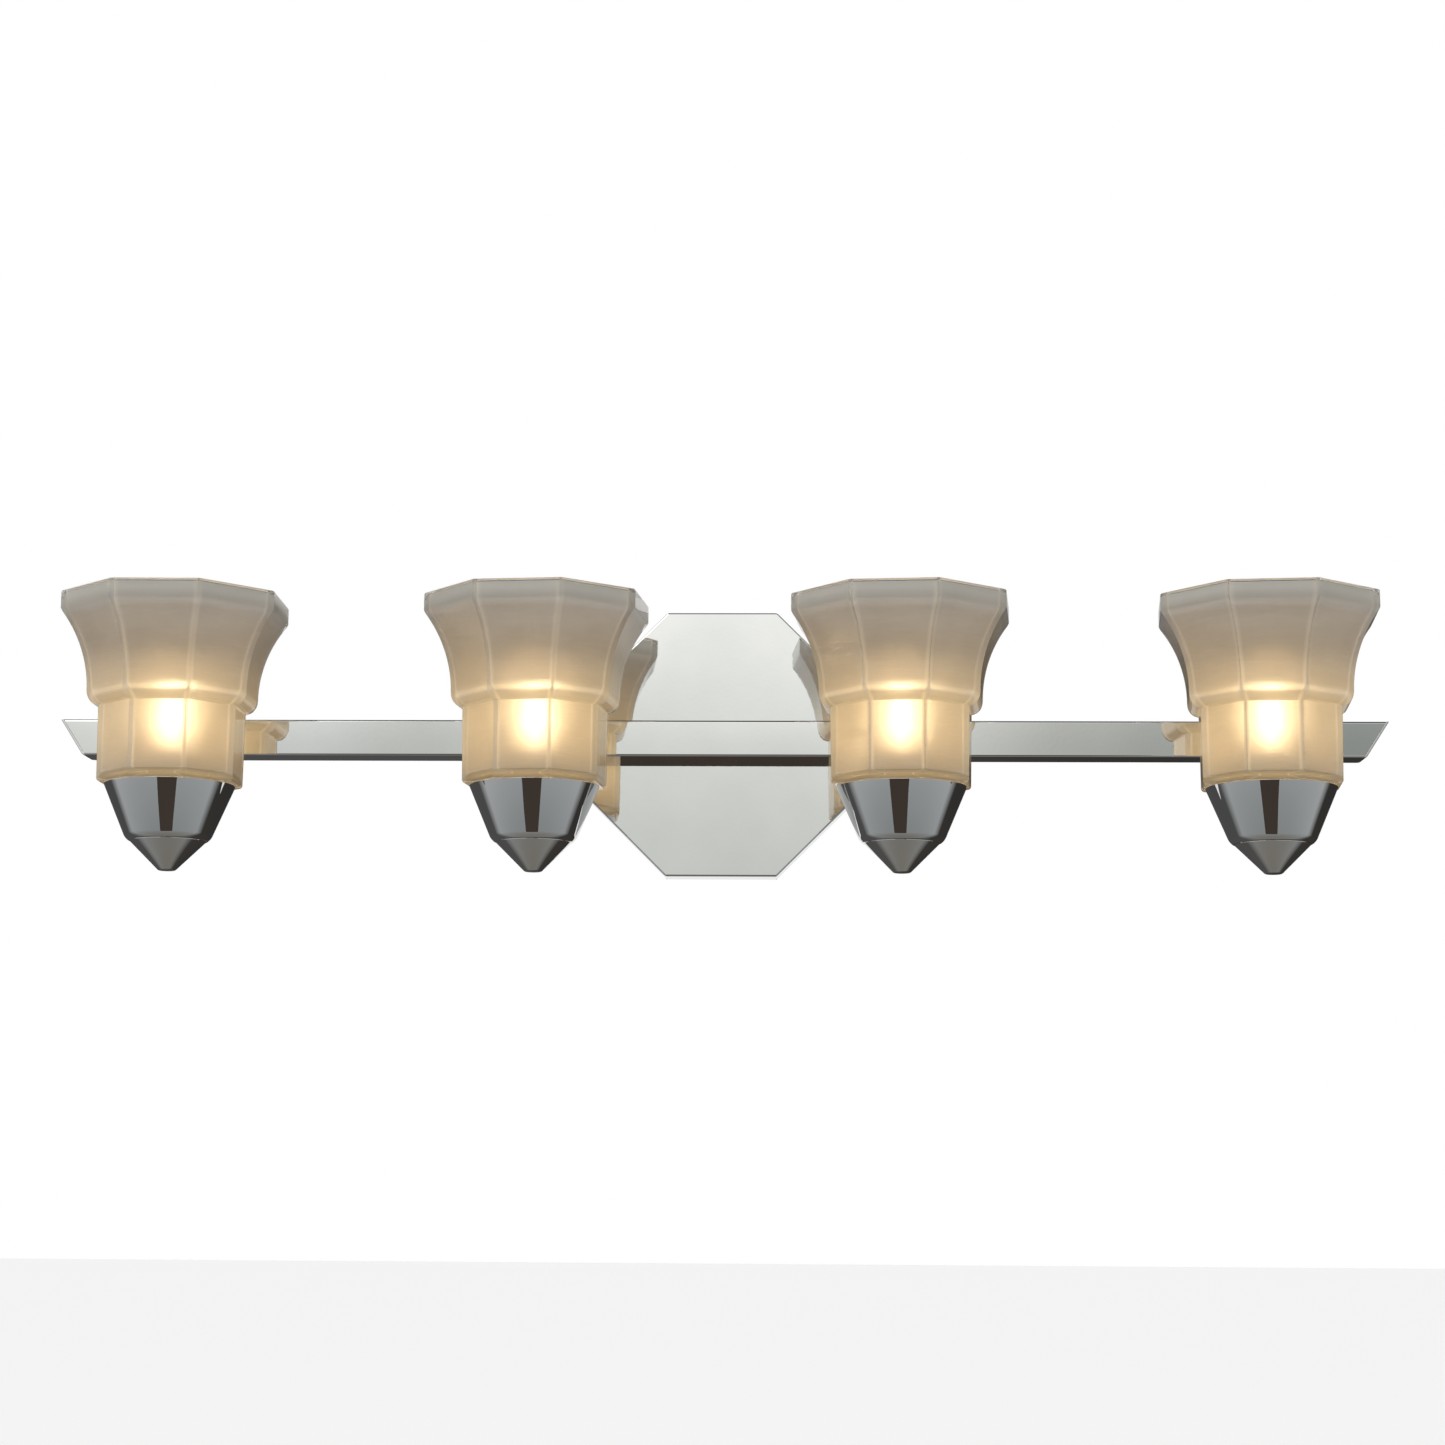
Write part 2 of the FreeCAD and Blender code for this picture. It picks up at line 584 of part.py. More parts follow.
# ---- wiring inside the arms and the bar ----
def lead(number, x, outer):
    """One socket lead: arm, up into the bar, along it to the middle, and back to the terminal block."""
    side = 1 if x > 0 else -1
    far_lamp = number in (0, LAMP_COUNT - 1)
    lane = LEAD_LOWEST_LANE + LEAD_LANE * (2 * far_lamp + outer)
    lead_x = x + side * LEAD_SPREAD * (1 if outer else -1)
    centre_x = side * LEAD_CENTRE
    block_face = -STRAP_THICKNESS - BLOCK_SIZE[1]
    points = [Vector(lead_x, LAMP_Y + SOCKET_R, ARM_HEIGHT), Vector(lead_x, BAR_MIDDLE, ARM_HEIGHT),
              Vector(lead_x, BAR_MIDDLE, lane), Vector(centre_x, BAR_MIDDLE, lane),
              Vector(centre_x, block_face, lane)]
    drop = bent_rod(LEAD_R, points[:2] + [(points[1] + points[2]) / 2], ARM_BEND)
    run = bent_rod(LEAD_R, [(points[1] + points[2]) / 2] + points[2:], LEAD_BEND)
    return drop.fuse(run).removeSplitter()


save("canopy", canopy())
save("mounting_strap", mounting_strap())
save("canopy_screws", *canopy_screws())
save("ground_screw", ground_screw())
save("terminal_block", terminal_block())
save("bar_channel", bar_channel())
save("bar_back_plate", bar_back_plate())
save("bar_end_cap_left", bar_end_cap(-1))
save("bar_end_cap_right", bar_end_cap(1))
save("bar_bolts", *bar_bolts())
save("bar_washers", *bar_washers())
save("bar_nuts", *bar_nuts())
save("bushing", bushing())
save("arm_nuts", *[arm_nut(x) for x in LAMP_XS])
save("nipples", *[nipple(x) for x in LAMP_XS])
save("nipple_nuts", *[nipple_nut(x) for x in LAMP_XS])
save("socket_contacts", *[contact(x) for x in LAMP_XS])
save("hot_leads", *[lead(n, x, True) for n, x in enumerate(LAMP_XS)])
save("neutral_leads", *[lead(n, x, False) for n, x in enumerate(LAMP_XS)])

blank_shade = shade_blank()
for number, (lamp_x, shade_turn) in enumerate(zip(LAMP_XS, SHADE_TURNS), start=1):
    save(f"arm_{number}", arm(lamp_x))
    save(f"cup_{number}", cup(lamp_x))
    save(f"finial_{number}", finial(lamp_x))
    save(f"socket_body_{number}", socket_body(lamp_x))
    save(f"screw_shell_{number}", screw_shell(lamp_x))
    save(f"socket_ring_{number}", socket_ring(lamp_x))
    save(f"shade_glass_{number}", shade_glass(blank_shade, lamp_x, shade_turn))
    save(f"bulb_glass_{number}", bulb_glass(lamp_x))
    save(f"bulb_cap_{number}", bulb_cap(lamp_x))
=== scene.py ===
import json
from math import asin, atan2, cos, pi, radians, sin, sqrt

import bmesh
import bpy
from mathutils import Matrix, Vector


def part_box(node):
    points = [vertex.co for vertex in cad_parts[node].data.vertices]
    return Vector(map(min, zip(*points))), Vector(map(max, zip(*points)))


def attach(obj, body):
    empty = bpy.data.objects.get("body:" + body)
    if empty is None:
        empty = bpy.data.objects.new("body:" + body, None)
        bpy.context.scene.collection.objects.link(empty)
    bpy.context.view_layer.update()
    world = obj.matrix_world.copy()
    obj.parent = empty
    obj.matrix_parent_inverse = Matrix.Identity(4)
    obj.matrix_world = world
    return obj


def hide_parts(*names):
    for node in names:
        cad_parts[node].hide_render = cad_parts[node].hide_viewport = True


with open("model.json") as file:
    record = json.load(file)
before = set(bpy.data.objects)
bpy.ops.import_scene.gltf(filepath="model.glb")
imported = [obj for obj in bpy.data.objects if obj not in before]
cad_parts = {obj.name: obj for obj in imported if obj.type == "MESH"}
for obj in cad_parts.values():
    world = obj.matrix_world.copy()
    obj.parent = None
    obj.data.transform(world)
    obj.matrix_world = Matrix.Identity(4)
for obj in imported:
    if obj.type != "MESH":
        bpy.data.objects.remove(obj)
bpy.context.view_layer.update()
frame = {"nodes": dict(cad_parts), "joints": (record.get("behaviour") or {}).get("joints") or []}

MM = 0.001
SIDES = 8
HALF_SIDE = pi / SIDES
ROUND_STEPS = 96
CREASE = radians(32)
X = Vector((1, 0, 0))
Y = Vector((0, 1, 0))
Z = Vector((0, 0, 1))

# ---- places, from the frame ----
LAMPS = (1, 2, 3, 4)
PIVOTS = {j["name"]: Vector(j["pos_m"]) for j in frame["joints"] if j["type"] == "hinge"}
AXES = {n: PIVOTS[f"shade_{n}_turn"] for n in LAMPS}
SHADE_TURNS = {1: 0.7, 2: -5.6, 3: -5.3, 4: -5.7}     # degrees, as the shades stand in the frame

# ---- the shade's outline: apothems and heights ----
FOOT_ROUND = 2 * MM
FOOT_R = 41.6 * MM
COLLAR_TOP_R = 42.2 * MM
COLLAR_TOP = 8.5 * MM
STEP_TOP = 17.5 * MM
BELL_R = 49 * MM
BELL_BEND = 82 * MM
BELL_WALL = 4.5 * MM
BAND_R = 65.3 * MM
BAND_BOTTOM = 67.2 * MM
BAND_WALL = 5.6 * MM
COLLAR_WALL = 4.8 * MM
GLASS_FLOOR = 5 * MM
GLASS_HOLE_R = 20.65 * MM
INNER_STEP_BOTTOM = 13.5 * MM
INNER_STEP_TOP = 20.5 * MM
RIM_ROUND = 1.2 * MM
BELL_CENTRE_X = BELL_R + BELL_BEND
OUTER_CORNER = 0.8 * MM
INNER_CORNER = 0.9 * MM


# ---- shader building ----
def new_material(name):
    mat = bpy.data.materials.new(name)
    mat.use_nodes = True
    mat.node_tree.nodes.clear()
    return mat


def add(mat, kind, values=None, **settings):
    """A node of that kind, with its settings and its inputs' values."""
    made = mat.node_tree.nodes.new("ShaderNode" + kind)
    for key, value in settings.items():
        setattr(made, key, value)
    for key, value in (values or {}).items():
        made.inputs[key].default_value = value
    return made


def wire(mat, source, target):
    mat.node_tree.links.new(source, target)


def object_point(mat, stretch=(1, 1, 1)):
    """Object coordinates; a stretch above 1 makes the pattern finer along that axis."""
    coords = add(mat, "TexCoord")
    mapping = add(mat, "Mapping", {"Scale": stretch})
    wire(mat, coords.outputs["Object"], mapping.inputs["Vector"])
    return mapping.outputs["Vector"]


def noise(mat, vector, scale, detail=3.0, rough=0.5, distortion=0.0):
    made = add(mat, "TexNoise", {"Scale": scale, "Detail": detail, "Roughness": rough,
                                 "Distortion": distortion})
    wire(mat, vector, made.inputs["Vector"])
    return made.outputs["Fac"]


def span(mat, value, low, high, out_low, out_high):
    """Maps value from low..high to out_low..out_high, clamped."""
    made = add(mat, "MapRange", {"From Min": low, "From Max": high, "To Min": out_low,
                                 "To Max": out_high})
    wire(mat, value, made.inputs["Value"])
    return made.outputs["Result"]


def ramp(mat, value, *stops):
    """Colour ramp of (position, (r, g, b)) stops."""
    made = add(mat, "ValToRGB")
    band = made.color_ramp
    while len(band.elements) < len(stops):
        band.elements.new(0.5)
    for element, (position, colour) in zip(band.elements, stops):
        element.position = position
        element.color = (*colour, 1)
    wire(mat, value, made.inputs["Fac"])
    return made.outputs["Color"]


def math(mat, operation, a, b=None):
    made = add(mat, "Math", operation=operation)
    for slot, value in zip(made.inputs, (a, b)):
        if value is None:
            continue
        if isinstance(value, (int, float)):
            slot.default_value = value
        else:
            wire(mat, value, slot)
    return made.outputs["Value"]


def blend_colours(mat, factor, a, b, kind="MIX"):
    made = add(mat, "Mix", data_type="RGBA", blend_type=kind)
    if isinstance(factor, (int, float)):
        made.inputs["Factor"].default_value = factor
    else:
        wire(mat, factor, made.inputs["Factor"])
    for slot, value in ((made.inputs[6], a), (made.inputs[7], b)):
        if isinstance(value, tuple):
            slot.default_value = (*value, 1)
        else:
            wire(mat, value, slot)
    return made.outputs[2]


def distance_from(mat, value, middle):
    return math(mat, "ABSOLUTE", math(mat, "SUBTRACT", value, middle))


def bump(mat, height, strength, distance):
    made = add(mat, "Bump", {"Strength": strength, "Distance": distance})
    wire(mat, height, made.inputs["Height"])
    return made.outputs["Normal"]


def principled(mat, values, colour=None, roughness=None, normal=None):
    shader = add(mat, "BsdfPrincipled", values)
    output = add(mat, "OutputMaterial")
    for source, name in ((colour, "Base Color"), (roughness, "Roughness"), (normal, "Normal")):
        if source is not None:
            wire(mat, source, shader.inputs[name])
    wire(mat, shader.outputs["BSDF"], output.inputs["Surface"])
    return shader


# ---- materials ----
def polished_chrome():
    """Mirror chrome plate: faint cloudy haze, hairline wipe marks and a trace of orange peel."""
    mat = new_material("polished_chrome")
    point = object_point(mat)
    cloud = noise(mat, point, 18, 4)
    wipe = noise(mat, object_point(mat, stretch=(1, 1, 14)), 60, 5, 0.65)
    tone = ramp(mat, cloud, (0.25, (0.74, 0.745, 0.74)), (0.6, (0.80, 0.80, 0.79)),
                (0.85, (0.83, 0.83, 0.825)))
    haze = math(mat, "ADD", span(mat, cloud, 0.35, 0.8, 0.012, 0.035), span(mat, wipe, 0.55, 0.8, 0, 0.03))
    peel = noise(mat, point, 420, 2)
    principled(mat, {"Metallic": 1.0}, tone, haze, bump(mat, peel, 0.02, 0.0002))
    return mat


def zinc_steel():
    """Bright zinc plate on steel sheet, with a faint yellow pass and rolling streaks."""
    mat = new_material("zinc_steel")
    point = object_point(mat)
    streak = noise(mat, object_point(mat, stretch=(1, 12, 30)), 45, 6, 0.6)
    patch = noise(mat, point, 30, 3)
    tone = blend_colours(mat, patch, (0.56, 0.57, 0.57), (0.66, 0.64, 0.55))
    tone = blend_colours(mat, span(mat, streak, 0.4, 0.7, 0, 0.5), tone, (0.42, 0.43, 0.43))
    rough = span(mat, streak, 0.3, 0.7, 0.22, 0.42)
    principled(mat, {"Metallic": 1.0}, tone, rough, bump(mat, streak, 0.12, 0.0003))
    return mat


def satin_nickel():
    """Unpolished nickel under-plate inside the hollow pieces, with fine drawing marks."""
    mat = new_material("satin_nickel")
    point = object_point(mat)
    mark = noise(mat, object_point(mat, stretch=(1, 1, 20)), 90, 5, 0.6)
    stain = noise(mat, point, 22, 4)
    tone = ramp(mat, stain, (0.3, (0.40, 0.385, 0.35)), (0.7, (0.56, 0.545, 0.51)))
    principled(mat, {"Metallic": 1.0}, tone, span(mat, mark, 0.3, 0.7, 0.30, 0.46),
               bump(mat, mark, 0.1, 0.0002))
    return mat


def pressed_glass():
    """Clear outer skin of the shade: fire-polished, with the slight waves that pressing leaves."""
    mat = new_material("pressed_glass")
    point = object_point(mat)
    wave = noise(mat, object_point(mat, stretch=(1, 1, 0.35)), 55, 2, 0.45, 0.4)
    chill = noise(mat, point, 260, 3)
    height = math(mat, "ADD", wave, math(mat, "MULTIPLY", chill, 0.12))
    rough = span(mat, chill, 0.3, 0.8, 0.015, 0.06)
    tone = blend_colours(mat, wave, (0.93, 0.915, 0.885), (0.975, 0.965, 0.945))
    principled(mat, {"Transmission Weight": 1.0, "IOR": 1.5}, tone, rough, bump(mat, height, 0.25, 0.0009))
    return mat


GLOW_HEIGHT = 7 * MM
HALO_HEIGHT = 3 * MM
RIM_BAND = 68 * MM
# heights of the painted highlight line and the painted shade line at the step
STEP_HIGHLIGHT_LINE = 16.5 * MM
STEP_SHADE_LINE = 14.5 * MM
SEAM_EDGE = 0.04          # radians from the corner, where the painted highlight line at each mitre fades out
SEAM_CORE = 0.01


def frosted_glass(number):
    """Acid-frosted inner skin, lit by its own bulb and given a painted glow from it, with painted highlight
    lines where its eight sides meet and a painted highlight line and painted shade line at its step.
    """
    mat = new_material(f"frosted_glass_{number}")
    axis = Vector((AXES[number].x, AXES[number].y, 0))
    coords = add(mat, "TexCoord")
    near = add(mat, "VectorMath", operation="DISTANCE")
    wire(mat, coords.outputs["Object"], near.inputs[0])
    near.inputs[1].default_value = axis + Z * GLOW_HEIGHT
    away = near.outputs["Value"]
    from_axis = add(mat, "VectorMath", operation="SUBTRACT")
    wire(mat, coords.outputs["Object"], from_axis.inputs[0])
    from_axis.inputs[1].default_value = axis
    parts = add(mat, "SeparateXYZ")
    wire(mat, from_axis.outputs["Vector"], parts.inputs["Vector"])
    height = parts.outputs["Z"]
    bearing = math(mat, "ARCTAN2", parts.outputs["X"], math(mat, "MULTIPLY", parts.outputs["Y"], -1.0))
    turned = math(mat, "SUBTRACT", bearing, radians(SHADE_TURNS[number]))
    off_middle = math(mat, "PINGPONG", turned, HALF_SIDE)
    seam_highlight = span(mat, off_middle, HALF_SIDE - SEAM_EDGE, HALF_SIDE - SEAM_CORE, 0, 1)
    point = object_point(mat)
    cloud = noise(mat, point, 35, 4, 0.55)
    streak = noise(mat, object_point(mat, stretch=(1, 1, 9)), 70, 5, 0.6)
    grain = noise(mat, point, 1400, 2)
    # painted shade: a darker strip just below the rim band, where the thick rim bends the light
    shade_below_rim = span(mat, height, RIM_BAND - 3 * MM, RIM_BAND, 0, 0.55)
    at_rim = span(mat, height, RIM_BAND, RIM_BAND + 5 * MM, 0, 0.8)
    tone = blend_colours(mat, span(mat, cloud, 0.3, 0.7, 0, 1), (0.40, 0.34, 0.27), (0.455, 0.39, 0.315))
    tone = blend_colours(mat, span(mat, streak, 0.5, 0.75, 0, 0.35), tone, (0.52, 0.47, 0.40))
    tone = blend_colours(mat, shade_below_rim, tone, (0.40, 0.40, 0.375))
    tone = blend_colours(mat, at_rim, tone, (0.60, 0.595, 0.55))
    # painted highlight: a paler line along each mitre, standing in for light bent by the rounded outer
    # corner
    tone = blend_colours(mat, math(mat, "MULTIPLY", seam_highlight, 0.32), tone, (0.72, 0.66, 0.56))
    # painted highlight: a warm pale line just above the inner step
    off_step_highlight = distance_from(mat, height, STEP_HIGHLIGHT_LINE)
    tone = blend_colours(mat, span(mat, off_step_highlight, 0.4 * MM, 1.5 * MM, 0.5, 0), tone, (0.74, 0.66, 0.52))
    # painted shade: a dark line where the step folds in, below the painted highlight line
    off_step_shade = distance_from(mat, height, STEP_SHADE_LINE)
    tone = blend_colours(mat, span(mat, off_step_shade, 0.4 * MM, 1.4 * MM, 0.5, 0), tone, (0.26, 0.20, 0.14))
    rough = span(mat, grain, 0.3, 0.7, 0.44, 0.56)
    texture = math(mat, "ADD", grain, math(mat, "MULTIPLY", streak, 1.5))
    shader = principled(mat, {"Transmission Weight": 0.36, "IOR": 1.5}, tone, rough,
                        bump(mat, texture, 0.15, 0.0004))
    # painted glow: emission on the frosted skin that fades with distance from the bulb, standing in for
    # bulb light seen through the glass
    glow = ramp(mat, span(mat, away, 30 * MM, 110 * MM, 0, 1), (0.0, (0.42, 0.30, 0.14)),
                (0.16, (0.30, 0.215, 0.105)), (0.38, (0.095, 0.068, 0.037)), (0.7, (0.03, 0.02, 0.011)),
                (1.0, (0.012, 0.009, 0.005)))
    wire(mat, glow, shader.inputs["Emission Color"])
    # the painted glow is a little stronger along the mitres, as part of the painted highlight lines
    wire(mat, span(mat, seam_highlight, 0, 1, 0.9, 1.2), shader.inputs["Emission Strength"])
    return mat


def bulb_envelope():
    """Soft-white bulb glass: a thin skin that glows warmest in front of its capsule."""
    mat = new_material("bulb_envelope")
    point = object_point(mat)
    parts = add(mat, "SeparateXYZ")
    wire(mat, point, parts.inputs["Vector"])
    off_core = distance_from(mat, parts.outputs["Z"], HALO_HEIGHT)
    facing = add(mat, "LayerWeight", {"Blend": 0.5})
    narrowing = span(mat, parts.outputs["Z"], 2 * MM, 16 * MM, 3.2, 9.0)
    ahead = math(mat, "POWER", math(mat, "SUBTRACT", 1.0, facing.outputs["Facing"]), narrowing)
    halo = math(mat, "MULTIPLY", ahead, span(mat, off_core, 9 * MM, 21 * MM, 16.0, 0.2))
    cloud = noise(mat, point, 90, 3)
    tone = blend_colours(mat, cloud, (1.0, 0.90, 0.74), (1.0, 0.94, 0.82))
    shader = principled(mat, {"Alpha": 0.38, "Emission Color": (1.0, 0.80, 0.48, 1)}, tone,
                        span(mat, cloud, 0.3, 0.7, 0.25, 0.4), bump(mat, cloud, 0.05, 0.0003))
    wire(mat, halo, shader.inputs["Emission Strength"])
    return mat


def capsule_glow():
    """Quartz capsule inside the bulb, too bright to look at."""
    mat = new_material("capsule_glow")
    cloud = noise(mat, object_point(mat), 300, 2)
    tone = blend_colours(mat, cloud, (1.0, 0.86, 0.6), (1.0, 0.9, 0.7))
    principled(mat, {"Emission Color": (1.0, 0.84, 0.58, 1), "Emission Strength": 12.0}, tone,
               span(mat, cloud, 0.3, 0.7, 0.2, 0.3))
    return mat


def cap_metal():
    """Rolled aluminium of the bulb's screw cap, scuffed along the thread."""
    mat = new_material("cap_metal")
    scuff = noise(mat, object_point(mat, stretch=(1, 1, 5)), 160, 5, 0.65)
    tone = blend_colours(mat, scuff, (0.58, 0.57, 0.55), (0.78, 0.77, 0.75))
    principled(mat, {"Metallic": 1.0}, tone, span(mat, scuff, 0.3, 0.7, 0.2, 0.45),
               bump(mat, scuff, 0.12, 0.0002))
    return mat


def brass():
    """Socket contact brass, a little tarnished."""
    mat = new_material("brass")
    tarnish = noise(mat, object_point(mat), 220, 5, 0.6)
    tone = ramp(mat, tarnish, (0.3, (0.55, 0.38, 0.13)), (0.65, (0.80, 0.60, 0.26)))
    principled(mat, {"Metallic": 1.0}, tone, span(mat, tarnish, 0.3, 0.7, 0.18, 0.42))
    return mat


def porcelain():
    """Glazed socket porcelain: warm white with pinholes and a soft ripple in the glaze."""
    mat = new_material("porcelain")
    point = object_point(mat)
    speck = noise(mat, point, 700, 2)
    pool = noise(mat, point, 60, 3)
    glaze = blend_colours(mat, pool, (0.84, 0.82, 0.77), (0.90, 0.89, 0.85))
    tone = blend_colours(mat, span(mat, speck, 0.66, 0.74, 0, 0.5), glaze, (0.5, 0.46, 0.38))
    principled(mat, {"Coat Weight": 0.6, "Coat Roughness": 0.05, "IOR": 1.5}, tone,
               span(mat, pool, 0.3, 0.7, 0.12, 0.28), bump(mat, pool, 0.1, 0.0005))
    return mat


def moulded_plastic(name, dark, light, grain_scale=900):
    """Moulded plastic with fine grain and a little shade variation."""
    mat = new_material(name)
    point = object_point(mat)
    grain = noise(mat, point, grain_scale, 3)
    patch = noise(mat, point, 25, 2)
    tone = blend_colours(mat, span(mat, patch, 0.3, 0.7, 0, 1), dark, light)
    principled(mat, {"IOR": 1.46}, tone, span(mat, grain, 0.3, 0.7, 0.35, 0.55),
               bump(mat, grain, 0.12, 0.0002))
    return mat


def green_zinc():
    """Green-dyed plate of the ground screw, worn on its edges."""
    mat = new_material("green_zinc")
    wear = noise(mat, object_point(mat), 350, 4, 0.6)
    tone = ramp(mat, wear, (0.35, (0.04, 0.26, 0.09)), (0.6, (0.09, 0.40, 0.16)), (0.8, (0.32, 0.45, 0.3)))
    principled(mat, {"Metallic": 0.7}, tone, span(mat, wear, 0.3, 0.7, 0.25, 0.45))
    return mat


CHROME = polished_chrome()
ZINC = zinc_steel()
SATIN = satin_nickel()
CLEAR = pressed_glass()
FROSTED = {n: frosted_glass(n) for n in LAMPS}
ENVELOPE = bulb_envelope()
CAPSULE = capsule_glow()
CAP_METAL = cap_metal()
BRASS = brass()
PORCELAIN = porcelain()
RING = moulded_plastic("ring_plastic", (0.72, 0.70, 0.64), (0.80, 0.78, 0.72))
BLOCK = moulded_plastic("block_plastic", (0.70, 0.68, 0.60), (0.80, 0.78, 0.70))
BLACK = moulded_plastic("black_insulation", (0.015, 0.015, 0.016), (0.035, 0.034, 0.033), 500)
WHITE = moulded_plastic("white_insulation", (0.74, 0.73, 0.70), (0.82, 0.81, 0.78), 500)
GREEN = green_zinc()


# ---- mesh building ----
MERGE = 1e-6
FINE = 0.1                # how far a face's direction may lean and still count as square to an axis


def verts_in(made, key="geom"):
    return [part for part in made[key] if isinstance(part, bmesh.types.BMVert)]


def edges_within(bm, verts):
    return [e for e in bm.edges if e.verts[0] in verts and e.verts[1] in verts]


def bevel_edges(bm, edges, offset, segments):
    bmesh.ops.bevel(bm, geom=edges, offset=offset, offset_type="OFFSET", segments=segments,
                    profile=0.5, affect="EDGES", material=-1, clamp_overlap=True)


def link_mesh(bm, name):
    """The bmesh as an object of that name in the scene."""
    mesh = bpy.data.meshes.new(name)
    bm.to_mesh(mesh)
    bm.free()
    made = bpy.data.objects.new(name, mesh)
    bpy.context.scene.collection.objects.link(made)
    return made


def line_to(bm, vert, x, z):
    new = bm.verts.new((x, 0, z))
    bm.edges.new((vert, new))
    return new


def arc_to(bm, vert, centre, turn, steps):
    """Swings vert round centre in the XZ plane, leaving an arc behind; positive turns +Z towards +X."""
    made = bmesh.ops.spin(bm, geom=[vert], cent=(centre[0], 0, centre[1]), axis=Y, angle=turn,
                          steps=steps, use_duplicate=False)
    return made["geom_last"][0]


def polyline(bm, points, rounds=None):
    """A line of edges in the XZ plane; rounds gives a corner's radius by its place in points."""
    verts = [bm.verts.new((x, 0, z)) for x, z in points]
    for a, b in zip(verts, verts[1:]):
        bm.edges.new((a, b))
    for place, offset in (rounds or {}).items():
        bmesh.ops.bevel(bm, geom=[verts[place]], offset=offset, offset_type="OFFSET", segments=4,
                        profile=0.5, affect="VERTICES", material=-1)


def turn_round(bm, steps):
    """Spins everything in the bmesh once round Z."""
    bmesh.ops.spin(bm, geom=bm.verts[:] + bm.edges[:], cent=(0, 0, 0), axis=Z, angle=2 * pi,
                   steps=steps, use_merge=True, use_duplicate=False)
    bmesh.ops.remove_doubles(bm, verts=bm.verts[:], dist=MERGE)


def mark_inside(faces):
    """Gives the hidden inner faces the piece's second material."""
    for face in faces:
        face.material_index = 1


def finish_piece(bm, name, body, materials, replaces=(), weighted=False):
    """Turns the bmesh into a piece riding on body, smooth except across creases."""
    for edge in bm.edges:
        edge.smooth = len(edge.link_faces) != 2 or edge.calc_face_angle(0) < CREASE
    for face in bm.faces:
        face.smooth = True
    piece = link_mesh(bm, name)
    for mat in materials:
        piece.data.materials.append(mat)
    if weighted:
        modifier = piece.modifiers.new("even_normals", "WEIGHTED_NORMAL")
        modifier.keep_sharp = True
    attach(piece, body)
    if replaces:
        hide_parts(*replaces)


def lathe(name, points, rounds, at, body, material, replaces=(), steps=ROUND_STEPS):
    """A turned piece: an outline in (radius, height), spun round the vertical axis through at."""
    bm = bmesh.new()
    polyline(bm, points, rounds)
    turn_round(bm, steps)
    bmesh.ops.recalc_face_normals(bm, faces=bm.faces[:])
    bmesh.ops.translate(bm, vec=Vector((at.x, at.y, 0)), verts=bm.verts[:])
    finish_piece(bm, name, body, [material], replaces)


# ---- canopy ----
CANOPY_WALL = 1.2 * MM
CANOPY_EDGE = 1.1 * MM


def hollow_from_rear(bm, wall, depth):
    """Opens a closed block at the rear, leaving a wall round and in front of the hollow."""
    rear = next(f for f in bm.faces if f.normal.y > 0.9)
    bmesh.ops.inset_region(bm, faces=[rear], thickness=wall)
    pushed = bmesh.ops.extrude_face_region(bm, geom=[rear])
    bmesh.ops.translate(bm, vec=Y * (wall - depth), verts=verts_in(pushed))
    bmesh.ops.delete(bm, geom=[rear], context="FACES")


def build_canopy():
    low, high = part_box("canopy")
    depth = high.y - low.y
    apothem = (high.x - low.x) / 2
    bm = bmesh.new()
    bmesh.ops.create_circle(bm, cap_ends=True, segments=SIDES, radius=apothem / cos(HALF_SIDE))
    bmesh.ops.rotate(bm, verts=bm.verts[:], cent=(0, 0, 0), matrix=Matrix.Rotation(HALF_SIDE, 3, "Z"))
    bmesh.ops.rotate(bm, verts=bm.verts[:], cent=(0, 0, 0), matrix=Matrix.Rotation(pi / 2, 3, "X"))
    pulled = bmesh.ops.extrude_face_region(bm, geom=bm.faces[:], use_keep_orig=True)
    bmesh.ops.translate(bm, vec=Y * -depth, verts=verts_in(pulled))
    bmesh.ops.recalc_face_normals(bm, faces=bm.faces[:])
    hollow_from_rear(bm, CANOPY_WALL, depth)
    rim = [e for e in bm.edges if all(v.co.y < CANOPY_WALL / 2 - depth for v in e.verts)]
    corners = [e for e in bm.edges if abs(e.verts[0].co.y - e.verts[1].co.y) > depth * 0.9]
    bevel_edges(bm, rim + corners, CANOPY_EDGE, 4)
    bmesh.ops.recalc_face_normals(bm, faces=bm.faces[:])
    middle = Vector((0, -depth / 2, 0))
    mark_inside([f for f in bm.faces if f.normal.dot(middle - f.calc_center_median()) > 0])
    finish_piece(bm, "canopy_shell", "fixture", [CHROME, SATIN], ["canopy"],
                 weighted=True)


# ---- bar ----
BAR_WALL = 1.2 * MM
BAR_CORNER = 1.4 * MM
CAP_EDGE = 0.45 * MM
CAP_CORNER = 1.3 * MM
CAP_SHARP = radians(35)


def block(bm, low, high):
    bmesh.ops.create_cube(bm, size=1)
    bmesh.ops.scale(bm, vec=high - low, verts=bm.verts[:])
    bmesh.ops.translate(bm, vec=(low + high) / 2, verts=bm.verts[:])


def slanted_block(bm, low, high, top_half, bottom_half):
    """A box along X whose ends lean in towards the bottom."""
    block(bm, low, high)
    for vert in bm.verts:
        half = top_half if vert.co.z > 0 else bottom_half
        vert.co.x = half if vert.co.x > 0 else -half


def bar_ends():
    """Half lengths of the bar's top and bottom edges, caps included, and the caps' thickness along X."""
    low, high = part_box("bar_end_cap_right")
    thickness = high.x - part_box("bar_channel")[1].x
    return high.x, low.x + thickness, thickness


